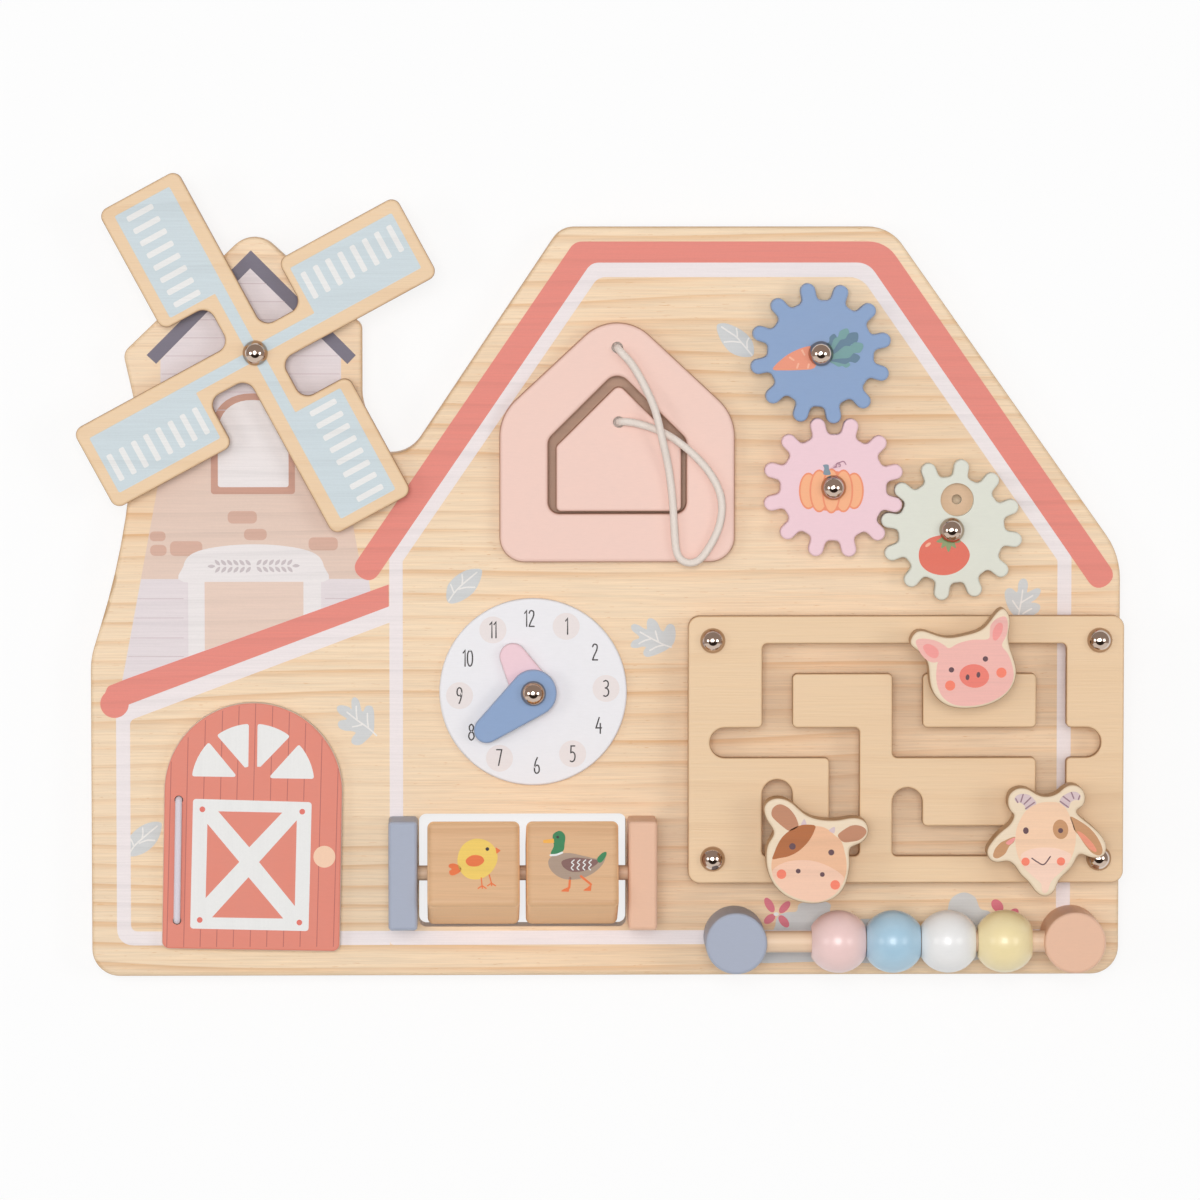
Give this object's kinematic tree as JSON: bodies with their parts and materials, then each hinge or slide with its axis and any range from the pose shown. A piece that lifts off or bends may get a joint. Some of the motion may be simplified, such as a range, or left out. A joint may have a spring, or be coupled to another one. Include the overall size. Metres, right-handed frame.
{
  "type": "busy board",
  "caption": "Wooden farm busy board with a turning windmill sail, hinged barn door, clock, meshing gears, lacing shape sorter, spinning cubes, bead rail and a slide maze with animal heads.",
  "frame": {"origin": "centre of the main board's outline on its flat back face", "axes": "+X to the right towards the slide maze, +Y up the board towards the roof and the windmill, +Z out of the front face; the board lies on its back"},
  "size_m": [0.4175, 0.3216, 0.047],
  "materials": {
    "pine": "clear matt lacquer, horizontal grain",
    "plywood": "clear matt lacquer",
    "beech": "clear satin lacquer",
    "red_paint": "matt printed paint",
    "white_paint": "satin paint",
    "blue_paint": "matt paint",
    "pink_paint": "matt paint",
    "blush_paint": "matt paint",
    "sage_paint": "matt paint",
    "sky_paint": "gloss paint",
    "rose_paint": "gloss paint",
    "yellow_paint": "gloss paint",
    "peach_paint": "matt paint",
    "steel_dome": "polished",
    "zinc": "zinc plated",
    "washer": "matt",
    "cord": "braided cotton",
    "elastic": "braided elastic"
  },
  "bodies": {
    "board": {"main_board": "pine", "sail_stud": "steel_dome", "sail_spacer": "beech", "sail_back_screw": "zinc", "clock_dial": "white_paint", "clock_stud": "steel_dome", "clock_washers": "washer", "clock_back_screw": "zinc", "gear_studs": "steel_dome", "gear_spacers": "beech", "gear_back_screws": "zinc", "maze_plate": "plywood", "maze_island": "plywood", "maze_island_block": "plywood", "maze_island_screws": "zinc", "maze_studs": "steel_dome", "maze_spacers": "beech", "maze_back_screws": "zinc", "shape_frame": "blush_paint", "frame_cord_knot": "cord", "cube_post_left": "blue_paint", "cube_post_right": "peach_paint", "cube_axle": "beech", "cube_post_screws": "zinc", "bead_post_left": "blue_paint", "bead_post_right": "peach_paint", "bead_rod": "beech", "bead_post_screws": "zinc", "hinge_cord_anchors": "elastic"},
    "sail": {"windmill_sail": "plywood"},
    "door": {"barn_door": "red_paint", "door_hinge_cord": "elastic"},
    "hour": {"hour_hand": "pink_paint"},
    "minute": {"minute_hand": "blue_paint"},
    "pink_wheel": {"gear_pink": "pink_paint"},
    "blue_wheel": {"gear_blue": "blue_paint"},
    "green_wheel": {"gear_green": "sage_paint"},
    "left_cube": {"cube_left": "beech"},
    "right_cube": {"cube_right": "beech"},
    "insert": {"house_insert": "blush_paint", "lacing_cord": "cord", "insert_cord_knot": "cord"},
    "yellow_bead": {"bead_yellow": "yellow_paint"},
    "white_bead": {"bead_white": "white_paint"},
    "blue_bead": {"bead_blue": "sky_paint"},
    "pink_bead": {"bead_pink": "rose_paint"},
    "pig_slider": {"pig_runner": "plywood"},
    "pig": {"pig_head": "plywood", "pig_screw": "zinc"},
    "cow_slider": {"cow_runner": "plywood"},
    "cow": {"cow_head": "plywood", "cow_screw": "zinc"},
    "goat_slider": {"goat_runner": "plywood"},
    "goat": {"goat_head": "plywood", "goat_screw": "zinc"}
  },
  "joints": [
    {"name": "sail_spin", "type": "hinge", "parent": "board", "child": "sail", "pos_m": [-0.1396, 0.1002, 0.021], "axis": [0, 0, 1], "continuous": true},
    {"name": "door_swing", "type": "hinge", "parent": "board", "child": "door", "pos_m": [-0.1779, -0.1383, 0.0153], "axis": [-0.0192, -0.9998, 0], "range_deg": [0, 90]},
    {"name": "hour_turn", "type": "hinge", "parent": "board", "child": "hour", "pos_m": [-0.0292, -0.0356, 0.02], "axis": [0, 0, 1], "continuous": true},
    {"name": "minute_turn", "type": "hinge", "parent": "board", "child": "minute", "pos_m": [-0.0292, -0.0356, 0.0236], "axis": [0, 0, 1], "continuous": true},
    {"name": "pink_gear_spin", "type": "hinge", "parent": "board", "child": "pink_wheel", "pos_m": [0.0905, 0.0464, 0.021], "axis": [0, 0, 1], "continuous": true},
    {"name": "blue_gear_spin", "type": "hinge", "parent": "board", "child": "blue_wheel", "pos_m": [0.08535, 0.09985, 0.021], "axis": [0, 0, 1], "continuous": true},
    {"name": "green_gear_spin", "type": "hinge", "parent": "board", "child": "green_wheel", "pos_m": [0.13773, 0.02939, 0.021], "axis": [0, 0, 1], "continuous": true},
    {"name": "left_cube_spin", "type": "hinge", "parent": "board", "child": "left_cube", "pos_m": [-0.05305, -0.1075, 0.025], "axis": [1, 0, 0], "continuous": true},
    {"name": "right_cube_spin", "type": "hinge", "parent": "board", "child": "right_cube", "pos_m": [-0.01355, -0.1075, 0.025], "axis": [1, 0, 0], "continuous": true},
    {"name": "insert_lift", "type": "slide", "parent": "board", "child": "insert", "axis": [0, 0, 1], "range_m": [0, 0.025]},
    {"name": "yellow_bead_slide", "type": "slide", "parent": "board", "child": "yellow_bead", "axis": [1, 0, 0], "range_m": [-0.004, 0.0043]},
    {"name": "white_bead_slide", "type": "slide", "parent": "yellow_bead", "child": "white_bead", "axis": [1, 0, 0], "range_m": [-0.0045, 0.0007]},
    {"name": "blue_bead_slide", "type": "slide", "parent": "white_bead", "child": "blue_bead", "axis": [1, 0, 0], "range_m": [-0.0045, 0]},
    {"name": "pink_bead_slide", "type": "slide", "parent": "blue_bead", "child": "pink_bead", "axis": [1, 0, 0], "range_m": [-0.0045, 0]},
    {"name": "pig_slide", "type": "slide", "parent": "board", "child": "pig_slider", "axis": [1, 0, 0], "range_m": [-0.0724, 0.037]},
    {"name": "pig_turn", "type": "hinge", "parent": "pig_slider", "child": "pig", "pos_m": [0.1405, -0.0217, 0.03], "axis": [0, 0, 1], "continuous": true},
    {"name": "cow_slide", "type": "slide", "parent": "board", "child": "cow_slider", "axis": [1, 0, 0], "range_m": [-0.0148, 0.012]},
    {"name": "cow_turn", "type": "hinge", "parent": "cow_slider", "child": "cow", "pos_m": [0.0829, -0.0948, 0.03], "axis": [0, 0, 1], "continuous": true},
    {"name": "goat_slide", "type": "slide", "parent": "board", "child": "goat_slider", "axis": [1, 0, 0], "range_m": [-0.025, 0.0029]},
    {"name": "goat_turn", "type": "hinge", "parent": "goat_slider", "child": "goat", "pos_m": [0.1746, -0.0948, 0.03], "axis": [0, 0, 1], "continuous": true}
  ],
  "couplings": [
    {"joint": "blue_gear_spin", "follows": "pink_gear_spin", "ratio": -1},
    {"joint": "green_gear_spin", "follows": "pink_gear_spin", "ratio": -1}
  ]
}
